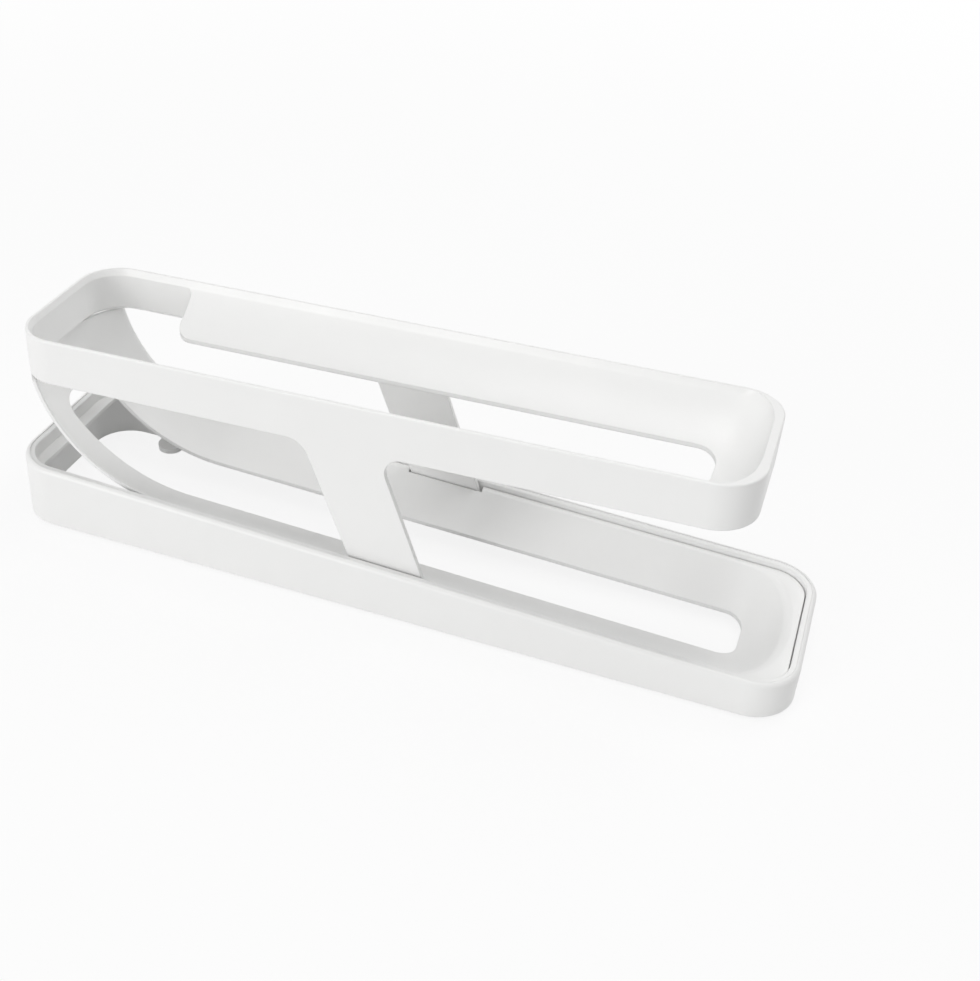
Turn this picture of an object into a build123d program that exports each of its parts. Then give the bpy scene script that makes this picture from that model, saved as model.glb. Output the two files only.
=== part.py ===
"""Rolling egg dispenser with two tiers.

What it holds goes in on the upper tray, rolls to its rear, drops through a hole on to a curved
ramp, and rolls back to a bowl at the front of the lower tier, where it is taken out. The frame is
+X towards the bowls, +Y across, +Z up, with the origin under the middle on the surface that the
rack stands on. All sizes are in millimetres.
"""

from build123d import *
from math import atan, cos, degrees, sin, sqrt
import os

# Base frame: a ring with vertical walls and a rim that slopes down towards the front
LENGTH = 375.0
WIDTH = 90.6
BASE_CORNER_RADIUS = 20.5
BASE_WALL = 2.0
RIM_HEIGHT = 26.2          # top of the rim above the surface, at the middle of the length
RIM_WIDTH = 4.7
RIM_ROUNDING = 2.4
LIP_WIDTH = 2.3            # outer part of the rim, which stands a little proud
LIP_STEP = 0.4
RIM_INNER_CHAMFER = 0.4
REBATE_DEPTH = 7.0         # from the rim down to the ledge that carries the ramp
LEDGE_WIDTH = 3.9
REAR_LEDGE_WIDTH = 6.0
LEDGE_THICKNESS = 2.0
OPENING_REAR_CORNER = 6.0
BASE_EDGE_CHAMFER = 0.6

# Anti-slip pads, each in a tab at the foot of a side wall
PAD_RADIUS = 5.0
PAD_THICKNESS = 1.6
PAD_RECESS = 0.8
PAD_CLEARANCE = 0.2
PAD_END_INSET = 39.5       # from either end of the base to the middle of a pad
PAD_INSET = 8.7            # from the outer face of the side wall to the middle of a pad
PAD_TAB_RADIUS = 6.4
PAD_TAB_THICKNESS = 2.6

# Lower ramp: a dished sheet, straight over the base and then swept up at the rear
LOWER_SLOPE = 0.038        # fall per unit of length, towards the front
RAMP_SHEET = 1.8
RAMP_DROP = 2.9            # from the rim down to the top of the ramp's edge
RAMP_GAP = 0.5             # between the ramp's edge and the rim
RAMP_EDGE_WIDTH = 2.0
RAMP_SWEEP_EDGE_WIDTH = 0.9   # the edge is narrower where nothing carries it
RAMP_EDGE_ROUNDING = 5.0   # where the edge turns down into the dish
RAMP_SWEEP_EDGE_ROUNDING = 2.4
RAMP_SHOULDER_ROUNDING = 1.0  # where the edge narrows
RAMP_DISH_DEPTH = 13.7
RAMP_BOWL_RADIUS = 22.0
RAMP_BOWL_MARGIN = 4.0     # from the front end of the sheet to the bowl
RAMP_SWEEP_RADIUS = 66.7   # of the sheet's side edge, about the middle of the sweep
RAMP_SWEEP_INSET = 81.5    # from the rear end of the base to the middle of the sweep
RAMP_SLOT_TURN = 57.0      # degrees of the sweep that the slot runs up
RAMP_SLOT_FRONT_INSET = 29.0  # from the front end of the base to the slot
RAMP_SLOT_CORNER = 9.0

# Upper tray: a tub that slopes down towards the rear, with a leg on each side
UPPER_SLOPE = 0.031        # rise per unit of length, towards the front
TRAY_REAR_INSET = 5.5      # from the rear end of the base to the tray
TRAY_FRONT_INSET = 31.1    # from the front end of the base to the tray
TRAY_RIM_GAP = 1.0         # between the legs and the inner side of the base's rim
TRAY_CORNER_RADIUS = 19.5
TRAY_HEIGHT = 105.3        # top of the tray above the surface, at the middle of the base
TRAY_DEPTH = 22.1
TRAY_WALL = 2.2            # of the legs
TRAY_SHEET = 2.0
TRAY_TOP_WIDTH = 1.5       # flat top of the wall
TRAY_TOP_ROUNDING = 0.8
TRAY_FOOT_CHAMFER = 1.8    # inside the foot of the wall
TRAY_BEVEL_DEPTH = 3.5
TRAY_BEVEL_WIDTH = 1.3
TRAY_DISH_DEPTH = 20.9     # from the top of the wall to the lowest line of the dish
TRAY_EDGE_ROUNDING = 4.0   # where the wall's bevel meets the dish
TRAY_BOWL_RADIUS = 19.0
TRAY_BOWL_MARGIN = 4.0     # from the front end of the tray to the bowl
TRAY_HOLLOW_DEPTH = 5.5    # from the top of the wall to the hollow under the sheet
TRAY_SLOT_FRONT_INSET = 23.4  # from the front end of the tray to the slot
TRAY_SLOT_CORNER = 10.0
DROP_HOLE_LENGTH = 49.2
DROP_HOLE_CORNER = 2.5
RAIL_END_ROUNDING = 9.0
TRAY_RAMP_GAP = 0.5        # between the tray's underside and the ramp's upper end

# The slot along both tiers, which is narrower than what rolls over it
SLOT_WIDTH = 30.4

# Legs: slanted side plates of the tray that stand on the base's ledge
LEG_WIDTH = 35.2
LEG_LEAN = 0.39            # horizontal run per unit of height
LEG_FOOT_X = 4.3           # middle of the leg where it meets the ledge
LEG_REAR_FILLET = 11.0
LEG_FRONT_FILLET = 8.0
LEG_CLEARANCE = 0.6        # between the leg and the ramp's notch
TONGUE_WIDTH = 20.0
TONGUE_THICKNESS = 1.6
TONGUE_LENGTH = 8.0
TONGUE_CLEARANCE = 0.2
GUIDE_RIB = 1.6

TOOL_REACH = 200.0         # longer than any cut that has to pass right through


def sloped_plane(height, slope):
    """Plane through (0, 0, height) that rises by slope for each unit of +X, facing up."""
    return Plane(origin=(0, 0, height), x_dir=(1, 0, slope), z_dir=(-slope, 0, 1))


def level(height, slope, x):
    """Height of a sloped plane at one place along the length."""
    return height + slope * x


def tub(rear_x, front_x, half_width, corner_radius, floor, ceiling):
    """Block with upright walls and round corners, between two planes that may slope."""
    with BuildPart() as block:
        with BuildSketch(Plane.XY.offset(-TOOL_REACH)):
            with Locations(((rear_x + front_x) / 2, 0)):
                RectangleRounded(front_x - rear_x, 2 * half_width, corner_radius)
        extrude(amount=2 * TOOL_REACH)
        split(bisect_by=floor, keep=Keep.TOP)
        split(bisect_by=ceiling, keep=Keep.BOTTOM)
    return block.part


def dish_form(section_plane, radius, lowest, length, end_radius):
    """Solid that fills a round-bottomed trough whose front end is rounded like a bowl.

    The trough starts at the section plane and runs along its normal. Its lowest line is at
    -lowest in that plane. The form is a turned body about the middle of the trough's arc.
    """
    middle = section_plane.origin + section_plane.y_dir * (radius - lowest)
    straight = length - end_radius
    profile_plane = Plane(origin=middle, x_dir=section_plane.z_dir, z_dir=section_plane.x_dir)
    with BuildPart() as form:
        with BuildSketch(profile_plane):
            with BuildLine():
                Polyline((straight, radius), (0, radius), (0, 0), (length, 0), (length, radius - end_radius))
                RadiusArc((length, radius - end_radius), (straight, radius), -end_radius)
            make_face()
        revolve(axis=Axis(middle, section_plane.z_dir))
    return form.part


def near(value, target):
    """Whether two lengths are the same, for picking corners and edges by their place."""
    return abs(value - target) < 0.01


# Planes and sizes that several pieces share
ground = Plane.XY
base_bottom = Plane.XY.offset(PAD_THICKNESS - PAD_RECESS)
rim_plane = sloped_plane(RIM_HEIGHT, -LOWER_SLOPE)
lip_floor = sloped_plane(RIM_HEIGHT - LIP_STEP, -LOWER_SLOPE)
ledge_height = RIM_HEIGHT - REBATE_DEPTH
ledge_plane = sloped_plane(ledge_height, -LOWER_SLOPE)
ledge_underside = sloped_plane(ledge_height - LEDGE_THICKNESS, -LOWER_SLOPE)
above_all = Plane.XY.offset(TOOL_REACH / 2)
below_all = Plane.XY.offset(-TOOL_REACH / 2)
base_rear_x = -LENGTH / 2
base_front_x = LENGTH / 2
rim_inner_half = WIDTH / 2 - RIM_WIDTH
rim_inner_end = LENGTH / 2 - RIM_WIDTH
ledge_inner_half = rim_inner_half - LEDGE_WIDTH
tray_half = rim_inner_half - TRAY_RIM_GAP
tray_rear_x = base_rear_x + TRAY_REAR_INSET
tray_front_x = base_front_x - TRAY_FRONT_INSET
tray_floor_height = TRAY_HEIGHT - TRAY_DEPTH
tray_top = sloped_plane(TRAY_HEIGHT, UPPER_SLOPE)
tray_floor = sloped_plane(tray_floor_height, UPPER_SLOPE)
leg_inner_y = tray_half - TRAY_WALL
SIDES = (-1, 1)


# Base frame: a hollow ring, open underneath, with a ledge inside the rim
def base_block(inset, floor, ceiling):
    """Block with the base's outline, drawn in by inset on all sides."""
    half_length = LENGTH / 2 - inset
    corner_radius = BASE_CORNER_RADIUS - inset
    return tub(-half_length, half_length, WIDTH / 2 - inset, corner_radius, floor, ceiling)


def tongue_block(width, thickness, reach, outer_y):
    """Block below the ledge's surface, where a leg's tongue goes, on the +Y side."""
    with BuildPart() as block:
        with BuildSketch(Plane.XZ.offset(-outer_y)):
            with BuildLine():
                Polyline(
                    (LEG_FOOT_X - width / 2, leg_foot_height - reach),
                    (LEG_FOOT_X + width / 2, leg_foot_height - reach),
                    (LEG_FOOT_X + width / 2, level(ledge_height, -LOWER_SLOPE, LEG_FOOT_X + width / 2)),
                    (LEG_FOOT_X - width / 2, level(ledge_height, -LOWER_SLOPE, LEG_FOOT_X - width / 2)),
                    close=True,
                )
            make_face()
        extrude(amount=thickness)
    return block.part


leg_foot_height = level(ledge_height, -LOWER_SLOPE, LEG_FOOT_X)
pocket = tongue_block(
    TONGUE_WIDTH + 2 * TONGUE_CLEARANCE,
    TONGUE_THICKNESS + 2 * TONGUE_CLEARANCE,
    TONGUE_LENGTH + GUIDE_RIB,
    tray_half + TONGUE_CLEARANCE,
)
guide_width = TONGUE_WIDTH + 2 * (TONGUE_CLEARANCE + GUIDE_RIB)
guide = tongue_block(
    guide_width,
    WIDTH / 2 - BASE_WALL / 2 - ledge_inner_half,
    TONGUE_LENGTH,
    WIDTH / 2 - BASE_WALL / 2,
) - tongue_block(
    guide_width - 2 * GUIDE_RIB,
    TOOL_REACH,
    TOOL_REACH,
    TOOL_REACH / 2,
)
pad_y = WIDTH / 2 - PAD_INSET
pad_x = LENGTH / 2 - PAD_END_INSET
pad_spots = [(side_x * pad_x, side_y * pad_y) for side_x in SIDES for side_y in SIDES]
tab_wall_y = WIDTH / 2 - BASE_WALL / 2
outer_block = base_block(0, base_bottom, rim_plane)
lip_cut = base_block(LIP_WIDTH, lip_floor, above_all)
rebate_cut = base_block(RIM_WIDTH, ledge_plane, above_all)
hollow_cut = base_block(BASE_WALL, below_all, ledge_underside)
opening_rear_x = REAR_LEDGE_WIDTH - rim_inner_end
opening_front_x = rim_inner_end - LEDGE_WIDTH
with BuildPart() as opening_cut:
    with BuildSketch(below_all) as outline:
        with Locations(((opening_rear_x + opening_front_x) / 2, 0)):
            Rectangle(opening_front_x - opening_rear_x, 2 * ledge_inner_half)
        fillet(outline.vertices().group_by(Axis.X)[0], OPENING_REAR_CORNER)
        fillet(outline.vertices().group_by(Axis.X)[-1], BASE_CORNER_RADIUS - RIM_WIDTH - LEDGE_WIDTH)
    extrude(amount=TOOL_REACH)

with BuildPart() as base_frame:
    add(outer_block)
    fillet(base_frame.faces().sort_by(Axis.Z)[-1].edges(), RIM_ROUNDING)
    chamfer(base_frame.faces().sort_by(Axis.Z)[0].edges(), BASE_EDGE_CHAMFER)
    for cut in (lip_cut, rebate_cut, hollow_cut, opening_cut.part):
        add(cut, mode=Mode.SUBTRACT)
    rim_step = base_frame.faces().filter_by(lip_floor).sort_by(Axis.Z)[-1]
    chamfer(rim_step.inner_wires()[0].edges(), RIM_INNER_CHAMFER)
    # Slots through the ledge for the tray's tongues, each between two ribs
    for mirrored in (guide, guide.mirror(Plane.XZ)):
        add(mirrored)
    for mirrored in (pocket, pocket.mirror(Plane.XZ)):
        add(mirrored, mode=Mode.SUBTRACT)
    # Tabs at the foot of the side walls, with round recesses for the pads
    with BuildSketch(base_bottom):
        with Locations(*pad_spots):
            Circle(PAD_TAB_RADIUS)
        for (x, y) in pad_spots:
            with Locations((x, (y + (tab_wall_y if y > 0 else -tab_wall_y)) / 2)):
                Rectangle(2 * PAD_TAB_RADIUS, tab_wall_y - pad_y)
    extrude(amount=PAD_TAB_THICKNESS)
    with BuildSketch(base_bottom):
        with Locations(*pad_spots):
            Circle(PAD_RADIUS + PAD_CLEARANCE)
    extrude(amount=PAD_RECESS, mode=Mode.SUBTRACT)
base_frame.part.label = "base_frame"

# Pads: the same disc in each corner, seated in its recess and standing on the surface
pads = {}
for (x, y) in pad_spots:
    with BuildPart() as pad:
        with BuildSketch(ground):
            with Locations((x, y)):
                Circle(PAD_RADIUS)
        extrude(amount=PAD_THICKNESS)
    name = ("pad_front" if x > 0 else "pad_rear") + ("_left" if y > 0 else "_right")
    pad.part.label = name
    pads[name] = pad.part

# Lower ramp: flat edges on the base's ledge, a dish between them, and a sweep up at the rear
ramp_pitch = atan(LOWER_SLOPE)
ramp_top_height = RIM_HEIGHT - RAMP_DROP
ramp_plane = sloped_plane(ramp_top_height, -LOWER_SLOPE)
ramp_half = rim_inner_half - RAMP_GAP
ramp_front_x = rim_inner_end - RAMP_GAP
ramp_corner_radius = BASE_CORNER_RADIUS - RIM_WIDTH - RAMP_GAP
ramp_dish_half = ramp_half - RAMP_EDGE_WIDTH
ramp_dish_radius = (ramp_dish_half**2 + RAMP_DISH_DEPTH**2) / (2 * RAMP_DISH_DEPTH)
ramp_under_radius = ramp_dish_radius + RAMP_SHEET
sweep_centre_x = base_rear_x + RAMP_SWEEP_INSET
tangent_x = sweep_centre_x - RAMP_SWEEP_RADIUS * sin(ramp_pitch)
tangent_z = level(ramp_top_height, -LOWER_SLOPE, tangent_x)
sweep_centre = (sweep_centre_x, 0, tangent_z + RAMP_SWEEP_RADIUS * cos(ramp_pitch))
ramp_section = Plane(
    origin=(tangent_x, 0, tangent_z),
    x_dir=(0, 1, 0),
    z_dir=(cos(ramp_pitch), 0, -sin(ramp_pitch)),
)
sweep_end_plane = sloped_plane(tray_floor_height - TRAY_RAMP_GAP, UPPER_SLOPE)
dish_length = (ramp_front_x - RAMP_BOWL_MARGIN - tangent_x) / cos(ramp_pitch)
ramp_dish = dish_form(ramp_section, ramp_dish_radius, RAMP_DISH_DEPTH, dish_length, RAMP_BOWL_RADIUS)
ramp_under_form = dish_form(
    ramp_section,
    ramp_under_radius,
    RAMP_DISH_DEPTH + RAMP_SHEET,
    dish_length + RAMP_SHEET,
    RAMP_BOWL_RADIUS + RAMP_SHEET,
) & tub(-LENGTH, ramp_front_x, ramp_half, ramp_corner_radius, below_all, ramp_plane)
ramp_edges = tub(-LENGTH, ramp_front_x, ramp_half, ramp_corner_radius, ledge_plane, ramp_plane)
ramp_slot_rear_x = tangent_x - RAMP_SHEET
ramp_slot_front_x = base_front_x - RAMP_SLOT_FRONT_INSET
with BuildPart() as ramp_slot:
    with BuildSketch(below_all) as outline:
        with Locations(((ramp_slot_rear_x + ramp_slot_front_x) / 2, 0)):
            Rectangle(ramp_slot_front_x - ramp_slot_rear_x, SLOT_WIDTH)
        fillet(outline.vertices().group_by(Axis.X)[-1], RAMP_SLOT_CORNER)
    extrude(amount=TOOL_REACH)
with BuildPart() as sweep_slot:
    with BuildSketch(ramp_section):
        with Locations((0, -RAMP_DISH_DEPTH)):
            Rectangle(SLOT_WIDTH, RAMP_DISH_DEPTH)
    revolve(axis=Axis(sweep_centre, (0, 1, 0)), revolution_arc=RAMP_SLOT_TURN)
    upper_end = sweep_slot.faces().filter_by(GeomType.PLANE).sort_by(Axis.Z)[-1]
    fillet(upper_end.edges().filter_by(lambda edge: near(edge.length, RAMP_DISH_DEPTH)), RAMP_SLOT_CORNER)
sweep_half = ramp_dish_half + RAMP_SWEEP_EDGE_WIDTH
under_half = sqrt(ramp_under_radius**2 - (ramp_dish_radius - RAMP_DISH_DEPTH + RAMP_SHEET) ** 2)
notch_rear_x = LEG_FOOT_X - LEG_WIDTH / 2 - LEG_LEAN * (REBATE_DEPTH - RAMP_DROP) - LEG_CLEARANCE
notch_front_x = LEG_FOOT_X + LEG_WIDTH / 2 + LEG_CLEARANCE
notch_inner_y = leg_inner_y - LEG_CLEARANCE

with BuildPart() as lower_ramp:
    add(ramp_edges)
    add(ramp_under_form)
    split(bisect_by=ramp_section, keep=Keep.TOP)
    add(ramp_dish, mode=Mode.SUBTRACT)
    ramp_top = lower_ramp.faces().filter_by(ramp_plane).sort_by(Axis.Z)[-1]
    side_edges = ramp_top.edges().filter_by(lambda edge: near(abs(edge.center().Y), ramp_dish_half))
    fillet(side_edges + ramp_top.edges().filter_by(GeomType.BSPLINE), RAMP_EDGE_ROUNDING)
    # The same section, with thin edges, turned about the middle of the sweep
    with BuildSketch(ramp_section) as sweep_section:
        with BuildLine():
            ThreePointArc((-ramp_dish_half, 0), (0, -RAMP_DISH_DEPTH), (ramp_dish_half, 0))
            ThreePointArc(
                (-under_half, -RAMP_SHEET),
                (0, -RAMP_DISH_DEPTH - RAMP_SHEET),
                (under_half, -RAMP_SHEET),
            )
            for side in SIDES:
                Polyline(
                    (side * ramp_dish_half, 0),
                    (side * sweep_half, 0),
                    (side * sweep_half, -RAMP_SHEET),
                    (side * under_half, -RAMP_SHEET),
                )
        make_face()
        dish_corners = sweep_section.vertices().filter_by(lambda corner: near(abs(corner.X), ramp_dish_half))
        fillet(dish_corners, RAMP_SWEEP_EDGE_ROUNDING)
    revolve(axis=Axis(sweep_centre, (0, 1, 0)), revolution_arc=90)
    split(bisect_by=sweep_end_plane, keep=Keep.BOTTOM)
    outer_edges = lower_ramp.edges().filter_by(lambda edge: near(abs(edge.center().Y), ramp_half))
    fillet(outer_edges.group_by(Axis.X)[0], RAMP_SHOULDER_ROUNDING)
    for cut in (ramp_slot.part, sweep_slot.part):
        add(cut, mode=Mode.SUBTRACT)
    # Notches in both edges for the tray's legs
    with BuildSketch(below_all):
        for side in SIDES:
            with Locations(((notch_rear_x + notch_front_x) / 2, side * (notch_inner_y + WIDTH / 2))):
                Rectangle(notch_front_x - notch_rear_x, WIDTH)
    extrude(amount=TOOL_REACH, mode=Mode.SUBTRACT)
lower_ramp.part.label = "lower_ramp"

# Upper tray: a tub with a dished floor on thin sheet, and a leg in line with each side wall
tray_pitch = atan(UPPER_SLOPE)
tray_corner_inset = TRAY_TOP_WIDTH + TRAY_BEVEL_WIDTH
dish_half = tray_half - tray_corner_inset
dish_sagitta = TRAY_DISH_DEPTH - TRAY_BEVEL_DEPTH
tray_dish_radius = (dish_half**2 + dish_sagitta**2) / (2 * dish_sagitta)
tray_section = Plane(
    origin=(tray_rear_x, 0, level(TRAY_HEIGHT, UPPER_SLOPE, tray_rear_x)),
    x_dir=(0, 1, 0),
    z_dir=(cos(tray_pitch), 0, sin(tray_pitch)),
)
tray_dish_length = (tray_front_x - TRAY_BOWL_MARGIN - tray_rear_x) / cos(tray_pitch)
with BuildPart() as tray_bevel:
    with BuildSketch(tray_top):
        with Locations(((tray_rear_x + tray_front_x) / 2, 0)):
            RectangleRounded(
                tray_front_x - tray_rear_x - 2 * TRAY_TOP_WIDTH,
                2 * (tray_half - TRAY_TOP_WIDTH),
                TRAY_CORNER_RADIUS - TRAY_TOP_WIDTH,
            )
    extrude(amount=-TRAY_DEPTH, taper=degrees(atan(TRAY_BEVEL_WIDTH / TRAY_BEVEL_DEPTH)))
tray_dish_form = dish_form(
    tray_section, tray_dish_radius, TRAY_DISH_DEPTH, tray_dish_length, TRAY_BOWL_RADIUS
)
with BuildPart() as tray_dish:
    add(tray_bevel.part & tray_dish_form)
    dish_edges = tray_dish.edges().filter_by(lambda edge: near(abs(edge.center().Y), dish_half))
    fillet(dish_edges, TRAY_EDGE_ROUNDING)
tray_under_form = dish_form(
    tray_section,
    tray_dish_radius + TRAY_SHEET,
    TRAY_DISH_DEPTH + TRAY_SHEET,
    tray_dish_length + TRAY_SHEET,
    TRAY_BOWL_RADIUS + TRAY_SHEET,
)
tray_hollow = tub(
    tray_rear_x + tray_corner_inset,
    tray_front_x - tray_corner_inset,
    tray_half - tray_corner_inset,
    TRAY_CORNER_RADIUS - tray_corner_inset,
    below_all,
    sloped_plane(TRAY_HEIGHT - TRAY_HOLLOW_DEPTH, UPPER_SLOPE),
) - tray_under_form
hole_rear_x = tray_rear_x + tray_corner_inset
hole_front_x = hole_rear_x + DROP_HOLE_LENGTH
hole_half = tray_half - tray_corner_inset
slot_front_x = tray_front_x - TRAY_SLOT_FRONT_INSET

with BuildPart() as tray_openings:
    with BuildSketch(Plane.XY.offset(tray_floor_height - TRAY_DEPTH)) as outline:
        with Locations(((hole_rear_x + hole_front_x) / 2, 0)):
            Rectangle(DROP_HOLE_LENGTH, 2 * hole_half)
        with Locations(((hole_front_x + slot_front_x) / 2, 0)):
            Rectangle(slot_front_x - hole_front_x, SLOT_WIDTH)
        fillet(outline.vertices().group_by(Axis.X)[0], TRAY_CORNER_RADIUS - tray_corner_inset)
        fillet(outline.vertices().group_by(Axis.X)[-1], TRAY_SLOT_CORNER)
        for (corner_y, rounding) in ((SLOT_WIDTH / 2, RAIL_END_ROUNDING), (hole_half, DROP_HOLE_CORNER)):
            hole_corners = outline.vertices().filter_by(lambda corner: near(corner.X, hole_front_x))
            fillet(hole_corners.filter_by(lambda corner: near(abs(corner.Y), corner_y)), rounding)
    extrude(amount=TOOL_REACH)

# A leg's side view, with the strip of wall that it runs into
leg_rear_foot_x = LEG_FOOT_X - LEG_WIDTH / 2
leg_front_foot_x = LEG_FOOT_X + LEG_WIDTH / 2
leg_rise = tray_floor_height - leg_foot_height
leg_rear_top_x = leg_rear_foot_x - LEG_LEAN * leg_rise
leg_front_top_x = leg_front_foot_x - LEG_LEAN * leg_rise
strip_rear_x = leg_rear_top_x - 2 * LEG_REAR_FILLET
strip_front_x = leg_front_top_x + 3 * LEG_FRONT_FILLET
with BuildPart() as leg:
    with BuildSketch(Plane.XZ.offset(-tray_half)) as side_view:
        with BuildLine():
            Polyline(
                (leg_rear_foot_x, level(ledge_height, -LOWER_SLOPE, leg_rear_foot_x)),
                (leg_front_foot_x, level(ledge_height, -LOWER_SLOPE, leg_front_foot_x)),
                (leg_front_top_x, level(tray_floor_height, UPPER_SLOPE, leg_front_top_x)),
                (strip_front_x, level(tray_floor_height, UPPER_SLOPE, strip_front_x)),
                (strip_front_x, level(tray_floor_height + TRAY_DEPTH / 2, UPPER_SLOPE, strip_front_x)),
                (strip_rear_x, level(tray_floor_height + TRAY_DEPTH / 2, UPPER_SLOPE, strip_rear_x)),
                (strip_rear_x, level(tray_floor_height, UPPER_SLOPE, strip_rear_x)),
                (leg_rear_top_x, level(tray_floor_height, UPPER_SLOPE, leg_rear_top_x)),
                close=True,
            )
        make_face()
        rear_corner = side_view.vertices().filter_by(lambda corner: near(corner.X, leg_rear_top_x))
        fillet(rear_corner, LEG_REAR_FILLET)
        front_corner = side_view.vertices().filter_by(lambda corner: near(corner.X, leg_front_top_x))
        fillet(front_corner, LEG_FRONT_FILLET)
    extrude(amount=TRAY_WALL)
tongue = tongue_block(TONGUE_WIDTH, TONGUE_THICKNESS, TONGUE_LENGTH, tray_half)

with BuildPart() as upper_tray:
    add(tub(tray_rear_x, tray_front_x, tray_half, TRAY_CORNER_RADIUS, tray_floor, tray_top))
    fillet(upper_tray.faces().sort_by(Axis.Z)[-1].edges(), TRAY_TOP_ROUNDING)
    for cut in (tray_hollow, tray_dish.part):
        add(cut, mode=Mode.SUBTRACT)
    add(tray_openings.part, mode=Mode.SUBTRACT)
    foot = upper_tray.faces().filter_by(tray_floor).sort_by(Axis.Z)[0]
    chamfer(foot.inner_wires()[0].edges(), TRAY_FOOT_CHAMFER)
    for piece in (leg.part, tongue):
        add(piece)
        add(piece.mirror(Plane.XZ))
upper_tray.part.label = "upper_tray"

os.makedirs("parts", exist_ok=True)
export_step(base_frame.part, "parts/base_frame.step")
export_step(lower_ramp.part, "parts/lower_ramp.step")
export_step(upper_tray.part, "parts/upper_tray.step")
for name, part in pads.items():
    export_step(part, f"parts/{name}.step")
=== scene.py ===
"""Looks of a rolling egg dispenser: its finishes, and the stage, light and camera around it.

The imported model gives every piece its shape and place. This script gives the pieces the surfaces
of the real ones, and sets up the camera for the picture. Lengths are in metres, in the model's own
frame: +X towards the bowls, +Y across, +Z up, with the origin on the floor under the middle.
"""

import logging
import math
from dataclasses import dataclass
from enum import Enum
from typing import Any

import bpy
from mathutils import Matrix, Vector


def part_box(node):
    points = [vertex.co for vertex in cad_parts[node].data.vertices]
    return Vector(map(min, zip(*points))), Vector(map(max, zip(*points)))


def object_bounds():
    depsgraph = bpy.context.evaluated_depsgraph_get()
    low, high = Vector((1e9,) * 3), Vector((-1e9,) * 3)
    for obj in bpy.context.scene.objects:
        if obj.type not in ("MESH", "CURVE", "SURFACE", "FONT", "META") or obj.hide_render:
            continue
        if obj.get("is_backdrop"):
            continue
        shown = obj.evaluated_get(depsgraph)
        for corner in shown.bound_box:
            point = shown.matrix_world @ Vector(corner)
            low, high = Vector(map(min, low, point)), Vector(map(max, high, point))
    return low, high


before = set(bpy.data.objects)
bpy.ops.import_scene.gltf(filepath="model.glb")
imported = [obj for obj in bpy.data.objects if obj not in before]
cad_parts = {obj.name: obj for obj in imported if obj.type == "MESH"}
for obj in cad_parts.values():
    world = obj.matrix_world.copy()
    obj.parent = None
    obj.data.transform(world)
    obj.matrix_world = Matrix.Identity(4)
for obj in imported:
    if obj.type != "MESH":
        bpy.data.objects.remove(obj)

log = logging.getLogger("egg_dispenser")

MM = 0.001                      # metres in a millimetre
WHITE = (1.0, 1.0, 1.0, 1.0)
PLAIN = 1.0                     # strength, and share, at which white is seen as plain white
FINE_DETAIL = 2.0               # octaves of noise in the small patterns

# Sockets by number, because each shares its name with another one of its node
MATH_A, MATH_B = 0, 1
MIX_FACTOR, MIX_A, MIX_B = 0, 6, 7      # inputs of a colour mix
MIX_RESULT = 2                          # output of a colour mix
SHADER_A, SHADER_B = 1, 2               # inputs of a shader mix


class Slot(Enum):
    """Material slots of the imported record, by the finish that each one stands for."""

    WHITE_PLASTIC = "white_plastic"
    PAD_SILICONE = "pad_silicone"


def linear_colour(hex_colour: str) -> tuple[float, float, float, float]:
    """Turn an sRGB colour into the linear values that shaders work in.

    Args:
        hex_colour: Six hex digits after a hash sign, such as "#F2F3F3".

    Returns:
        Linear red, green and blue, and an alpha of 1.
    """
    full, knee, slope, offset, power = 255, 0.04045, 12.92, 0.055, 2.4
    channels = [int(hex_colour[i:i + 2], 16) / full for i in (1, 3, 5)]
    red, green, blue = [
        c / slope if c <= knee else ((c + offset) / (1 + offset)) ** power for c in channels
    ]
    return (red, green, blue, 1.0)


def direction(azimuth: float, elevation: float) -> Vector:
    """Find the direction from the object towards a lamp or the camera.

    Args:
        azimuth: Degrees round from -Y towards +X.
        elevation: Degrees above the floor.

    Returns:
        The direction, with a length of 1.
    """
    turn, rise = math.radians(azimuth), math.radians(elevation)
    return Vector((
        math.sin(turn) * math.cos(rise),
        -math.cos(turn) * math.cos(rise),
        math.sin(rise),
    ))


def add_node(
    tree: bpy.types.NodeTree,
    kind: str,
    settings: dict[str, Any] | None = None,
    inputs: dict[str | int, Any] | None = None,
) -> bpy.types.Node:
    """Add one shader node with its settings, its input values and its links.

    Args:
        tree: The node tree that the node goes into.
        kind: Blender's name of the node type.
        settings: Attributes of the node, by name.
        inputs: What each input socket gets: an output socket to link it to, or a plain value.

    Returns:
        The new node.
    """
    node = tree.nodes.new(kind)
    for name, value in (settings or {}).items():
        setattr(node, name, value)
    for name, value in (inputs or {}).items():
        if isinstance(value, bpy.types.NodeSocket):
            tree.links.new(value, node.inputs[name])
        else:
            node.inputs[name].default_value = value
    return node


def seen_rays(tree: bpy.types.NodeTree) -> bpy.types.NodeSocket:
    """Give a value of 1 for the rays of the camera and of reflections, and 0 for all others.

    Args:
        tree: The node tree that the value is for.

    Returns:
        The output socket with the value.
    """
    rays = add_node(tree, "ShaderNodeLightPath")
    seen = add_node(tree, "ShaderNodeMath", {"operation": "MAXIMUM"}, {
        MATH_A: rays.outputs["Is Camera Ray"], MATH_B: rays.outputs["Is Glossy Ray"],
    })
    return seen.outputs["Value"]


def empty_material(name: str) -> bpy.types.Material:
    """Make a material with an empty node tree.

    Args:
        name: The material's name.

    Returns:
        The new material.
    """
    material = bpy.data.materials.new(name)
    material.use_nodes = True
    material.node_tree.nodes.clear()
    return material


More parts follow.
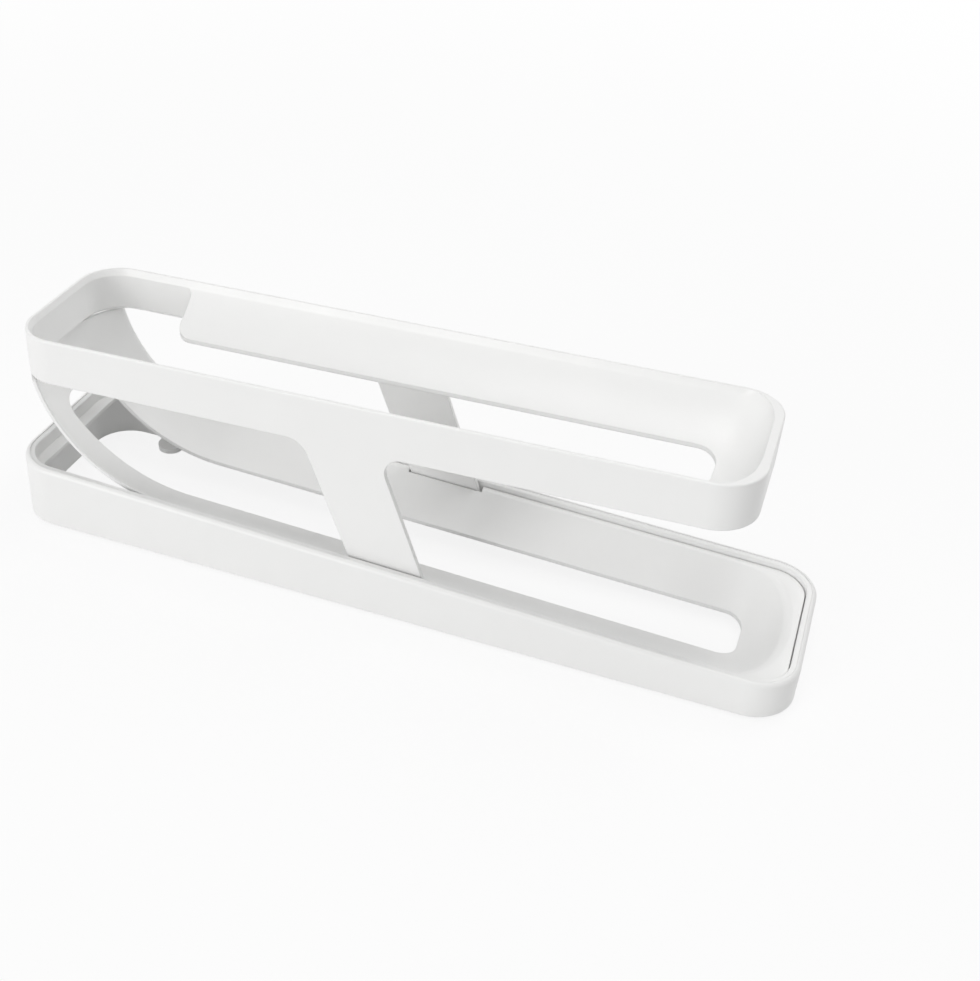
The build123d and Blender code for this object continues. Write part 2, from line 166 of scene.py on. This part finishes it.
@dataclass(frozen=True)
class MouldedPolypropylene:
    """White injection-moulded polypropylene, from a finely eroded steel mould.

    The mould leaves an even satin skin with a fine grain. The melt's flow makes broad patches that
    are a little glossier or duller. Corners that leave the mould are never quite sharp, so they
    catch a thin line of light.
    """

    name: str = "moulded_polypropylene"
    light: str = "#F4F4F3"          # the pigment where it is densest
    shade: str = "#F0F0EF"          # the pigment along the melt's flow
    ior: float = 1.49
    smoothest: float = 0.30         # roughness where the skin is glossiest
    roughest: float = 0.40
    flow: float = 45 * MM           # size of the patches that the melt's flow leaves
    flow_detail: float = 3.0        # octaves of noise in the patches
    flow_break: float = 0.55        # how much each finer octave counts
    flow_swirl: float = 0.6         # how far the patches are pulled about
    flow_low: float = 0.3           # value of the noise where the skin is glossiest
    flow_high: float = 0.7          # and where it is dullest
    grain: float = 0.35 * MM        # size of the mould's eroded grain, which shows only close by
    grain_height: float = 0.006 * MM
    corner: float = 0.6 * MM        # radius of the moulding's small corners
    corner_samples: int = 6

    def build(self) -> bpy.types.Material:
        """Build the node tree.

        Returns:
            The finished material.
        """
        material = empty_material(self.name)
        tree = material.node_tree
        place = add_node(tree, "ShaderNodeTexCoord").outputs["Object"]
        flow = add_node(tree, "ShaderNodeTexNoise", None, {
            "Vector": place, "Scale": 1 / self.flow, "Detail": self.flow_detail,
            "Roughness": self.flow_break, "Distortion": self.flow_swirl,
        })
        pigment = add_node(tree, "ShaderNodeMix", {"data_type": "RGBA"}, {
            MIX_FACTOR: flow.outputs["Fac"],
            MIX_A: linear_colour(self.light), MIX_B: linear_colour(self.shade),
        })
        roughness = add_node(tree, "ShaderNodeMapRange", None, {
            "Value": flow.outputs["Fac"], "From Min": self.flow_low, "From Max": self.flow_high,
            "To Min": self.smoothest, "To Max": self.roughest,
        })
        grain = add_node(tree, "ShaderNodeTexNoise", None, {
            "Vector": place, "Scale": 1 / self.grain, "Detail": FINE_DETAIL,
        })
        corner = add_node(
            tree, "ShaderNodeBevel", {"samples": self.corner_samples}, {"Radius": self.corner}
        )
        skin = add_node(tree, "ShaderNodeBump", None, {
            "Distance": self.grain_height, "Height": grain.outputs["Fac"],
            "Normal": corner.outputs["Normal"],
        })
        shader = add_node(tree, "ShaderNodeBsdfPrincipled", None, {
            "Base Color": pigment.outputs[MIX_RESULT], "Roughness": roughness.outputs["Result"],
            "IOR": self.ior, "Normal": skin.outputs["Normal"],
        })
        add_node(tree, "ShaderNodeOutputMaterial", None, {"Surface": shader.outputs["BSDF"]})
        return material


@dataclass(frozen=True)
class SiliconeRubber:
    """Pale grey silicone rubber, pressed into discs, with a dull skin that grips."""

    name: str = "silicone_rubber"
    light: str = "#CFD1D2"
    shade: str = "#C2C5C7"          # where there is more filler
    ior: float = 1.41
    roughness: float = 0.62
    cloud: float = 3 * MM           # size of the faint patches of filler
    grain: float = 0.25 * MM        # size of the grain that the press leaves
    grain_height: float = 0.012 * MM

    def build(self) -> bpy.types.Material:
        """Build the node tree.

        Returns:
            The finished material.
        """
        material = empty_material(self.name)
        tree = material.node_tree
        place = add_node(tree, "ShaderNodeTexCoord").outputs["Object"]
        cloud = add_node(tree, "ShaderNodeTexNoise", None, {
            "Vector": place, "Scale": 1 / self.cloud, "Detail": FINE_DETAIL,
        })
        pigment = add_node(tree, "ShaderNodeMix", {"data_type": "RGBA"}, {
            MIX_FACTOR: cloud.outputs["Fac"],
            MIX_A: linear_colour(self.light), MIX_B: linear_colour(self.shade),
        })
        grain = add_node(tree, "ShaderNodeTexNoise", None, {
            "Vector": place, "Scale": 1 / self.grain, "Detail": FINE_DETAIL,
        })
        skin = add_node(tree, "ShaderNodeBump", None, {
            "Distance": self.grain_height, "Height": grain.outputs["Fac"],
        })
        shader = add_node(tree, "ShaderNodeBsdfPrincipled", None, {
            "Base Color": pigment.outputs[MIX_RESULT], "Roughness": self.roughness,
            "IOR": self.ior, "Normal": skin.outputs["Normal"],
        })
        add_node(tree, "ShaderNodeOutputMaterial", None, {"Surface": shader.outputs["BSDF"]})
        return material


@dataclass(frozen=True)
class StudioPaper:
    """Matt white paper that the camera and reflections see mostly as plain white.

    The part that isn't plain white keeps the object's faint shadow. Away from the object it fades
    out, so the paper shows no edge against the white beyond it.
    """

    name: str = "studio_paper"
    colour: str = "#F4F4F4"
    plain_share: float = 0.85       # share of plain white in what the camera sees, by the object
    shadow_reach: float = 0.35      # distance from the origin up to which that share holds
    all_plain: float = 1.2          # distance from which plain white alone is seen

    def build(self) -> bpy.types.Material:
        """Build the node tree.

        Returns:
            The finished material.
        """
        material = empty_material(self.name)
        tree = material.node_tree
        place = add_node(tree, "ShaderNodeTexCoord").outputs["Object"]
        distance = add_node(tree, "ShaderNodeVectorMath", {"operation": "LENGTH"}, {MATH_A: place})
        plain = add_node(tree, "ShaderNodeMapRange", {"interpolation_type": "SMOOTHSTEP"}, {
            "Value": distance.outputs["Value"], "From Min": self.shadow_reach,
            "From Max": self.all_plain, "To Min": self.plain_share, "To Max": PLAIN,
        })
        share = add_node(tree, "ShaderNodeMath", {"operation": "MULTIPLY"}, {
            MATH_A: seen_rays(tree), MATH_B: plain.outputs["Result"],
        })
        white = add_node(tree, "ShaderNodeEmission", None, {"Color": WHITE, "Strength": PLAIN})
        paper = add_node(tree, "ShaderNodeBsdfDiffuse", None, {"Color": linear_colour(self.colour)})
        both = add_node(tree, "ShaderNodeMixShader", None, {
            "Fac": share.outputs["Value"],
            SHADER_A: paper.outputs["BSDF"], SHADER_B: white.outputs["Emission"],
        })
        add_node(tree, "ShaderNodeOutputMaterial", None, {"Surface": both.outputs["Shader"]})
        return material


@dataclass
class Moulding:
    """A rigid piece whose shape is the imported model's own, dressed in one finish."""

    node: str
    slot: Slot

    def dress(self, finishes: dict[Slot, bpy.types.Material]) -> None:
        """Give the piece the finish of its slot.

        Args:
            finishes: The finish for each material slot.
        """
        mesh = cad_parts[self.node].data
        mesh.materials.clear()
        mesh.materials.append(finishes[self.slot])
        low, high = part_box(self.node)
        size = " x ".join(f"{side / MM:.1f}" for side in high - low)
        log.info("%s: %s mm, %s", self.node, size, finishes[self.slot].name)


@dataclass
class BaseFrame:
    """The ring that stands on the surface, with its anti-slip pads."""

    ring: str = "base_frame"
    pads: tuple[str, ...] = ("pad_front_left", "pad_front_right", "pad_rear_left", "pad_rear_right")

    def dress(self, finishes: dict[Slot, bpy.types.Material]) -> None:
        """Dress the ring and its pads.

        Args:
            finishes: The finish for each material slot.
        """
        Moulding(self.ring, Slot.WHITE_PLASTIC).dress(finishes)
        for pad in self.pads:
            Moulding(pad, Slot.PAD_SILICONE).dress(finishes)


@dataclass
class Track:
    """One of the two tiers: a dished sheet with a slot along its middle."""

    sheet: str

    def dress(self, finishes: dict[Slot, bpy.types.Material]) -> None:
        """Dress the tier.

        Args:
            finishes: The finish for each material slot.
        """
        Moulding(self.sheet, Slot.WHITE_PLASTIC).dress(finishes)


@dataclass
class Stage:
    """The paper floor under the object and the even light around it."""

    width: float = 12.0             # side of the square floor
    daylight: float = 0.41          # level of the even light from all around; 1 is white

    def build_floor(self) -> None:
        """Lay the paper floor at the height of the surface that the object stands on."""
        half = self.width / 2
        corners = [(-half, -half, 0), (half, -half, 0), (half, half, 0), (-half, half, 0)]
        mesh = bpy.data.meshes.new("floor")
        mesh.from_pydata(corners, [], [(0, 1, 2, 3)])
        mesh.materials.append(StudioPaper().build())
        floor = bpy.data.objects.new("floor", mesh)
        bpy.context.scene.collection.objects.link(floor)
        floor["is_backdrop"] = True
        log.info("floor: %.1f m square", self.width)

    def build_world(self) -> None:
        """Fill the world with even light, which the camera and reflections see as plain white."""
        world = bpy.data.worlds.new("daylight")
        world.use_nodes = True
        tree = world.node_tree
        tree.nodes.clear()
        light = add_node(tree, "ShaderNodeBackground", None, {
            "Color": WHITE, "Strength": self.daylight,
        })
        white = add_node(tree, "ShaderNodeBackground", None, {"Color": WHITE, "Strength": PLAIN})
        both = add_node(tree, "ShaderNodeMixShader", None, {
            "Fac": seen_rays(tree),
            SHADER_A: light.outputs["Background"], SHADER_B: white.outputs["Background"],
        })
        add_node(tree, "ShaderNodeOutputWorld", None, {"Surface": both.outputs["Shader"]})
        bpy.context.scene.world = world
        log.info("%s: level %.2f", world.name, self.daylight)


@dataclass
class SoftBox:
    """A large square lamp that looks at the middle of the object."""

    name: str
    azimuth: float                  # degrees round from -Y towards +X
    elevation: float                # degrees above the floor
    distance: float
    width: float
    level: float                    # light that it alone gives a white sheet facing it; 1 is white

    def build(self, target: Vector) -> None:
        """Hang the lamp.

        Args:
            target: The point that the lamp faces.
        """
        towards = direction(self.azimuth, self.elevation)
        lamp = bpy.data.lights.new(self.name, "AREA")
        lamp.shape = "SQUARE"
        lamp.size = self.width
        # The power at which a white sheet, facing the lamp from the target, is lit to the level
        lamp.energy = self.level * (math.pi * self.distance) ** 2
        holder = bpy.data.objects.new(self.name, lamp)
        holder.location = target + towards * self.distance
        holder.rotation_euler = towards.to_track_quat("Z", "Y").to_euler()
        bpy.context.scene.collection.objects.link(holder)
        log.info("%s: level %.2f", self.name, self.level)


@dataclass
class StudioCamera:
    """The camera at the photograph's viewing angle.

    The picture is 980 x 981 pixels. Focal length and the picture's middle are given in its pixels,
    and the camera's place is given from the origin of the object's frame.
    """

    azimuth: float = 16.953         # degrees round from -Y towards +X
    elevation: float = 34.619       # degrees above the floor
    roll: float = 4.023             # degrees
    distance: float = 673.25 * MM   # back along the line of view
    across: float = 23.52 * MM      # to the right of the line of view through the origin
    above: float = 45.25 * MM       # over the line of view through the origin
    focal_pixels: float = 1404.69
    middle_x: float = 458.87        # pixel where the line of view meets the picture
    middle_y: float = 463.79
    picture_width: int = 980
    picture_height: int = 981
    sensor: float = 36.0            # long side of the sensor, in millimetres
    clip_start: float = 10 * MM

    def build(self) -> None:
        """Make the camera and set it as the scene's own."""
        back = direction(self.azimuth, self.elevation)
        turn, roll = math.radians(self.azimuth), math.radians(self.roll)
        level_right = Vector((math.cos(turn), math.sin(turn), 0))
        level_up = back.cross(level_right)
        right = math.cos(roll) * level_right + math.sin(roll) * level_up
        up = math.cos(roll) * level_up - math.sin(roll) * level_right
        long_side = max(self.picture_width, self.picture_height)
        lens = bpy.data.cameras.new("camera")
        lens.sensor_width = self.sensor
        lens.lens = self.sensor * self.focal_pixels / long_side
        lens.shift_x = (self.picture_width / 2 - self.middle_x) / long_side
        lens.shift_y = (self.middle_y - self.picture_height / 2) / long_side
        lens.clip_start = self.clip_start
        camera = bpy.data.objects.new("camera", lens)
        place = back * self.distance + right * self.across + up * self.above
        axes = Matrix((right, up, back)).transposed().to_4x4()
        camera.matrix_world = Matrix.Translation(place) @ axes
        bpy.context.scene.collection.objects.link(camera)
        bpy.context.scene.camera = camera
        log.info("camera: lens %.1f mm", lens.lens)


def main() -> None:
    """Dress the object, then set up the stage, the lamps and the camera."""
    logging.basicConfig(level=logging.INFO, format="%(name)s: %(message)s")
    cad_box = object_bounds()
    finishes = {
        Slot.WHITE_PLASTIC: MouldedPolypropylene().build(),
        Slot.PAD_SILICONE: SiliconeRubber().build(),
    }
    for sub_assembly in (BaseFrame(), Track("lower_ramp"), Track("upper_tray")):
        sub_assembly.dress(finishes)

    stage = Stage()
    stage.build_floor()
    stage.build_world()
    middle = (cad_box[0] + cad_box[1]) / 2
    for lamp in (
        SoftBox("key_light", azimuth=-26, elevation=18, distance=2.6, width=1.4, level=0.40),
        SoftBox("top_light", azimuth=0, elevation=89, distance=1.5, width=0.9, level=0.26),
        SoftBox("rim_light", azimuth=150, elevation=50, distance=2.0, width=1.2, level=0.24),
    ):
        lamp.build(middle)
    StudioCamera().build()
    bpy.context.scene.view_settings.view_transform = "Standard"


if __name__ == "__main__":
    main()
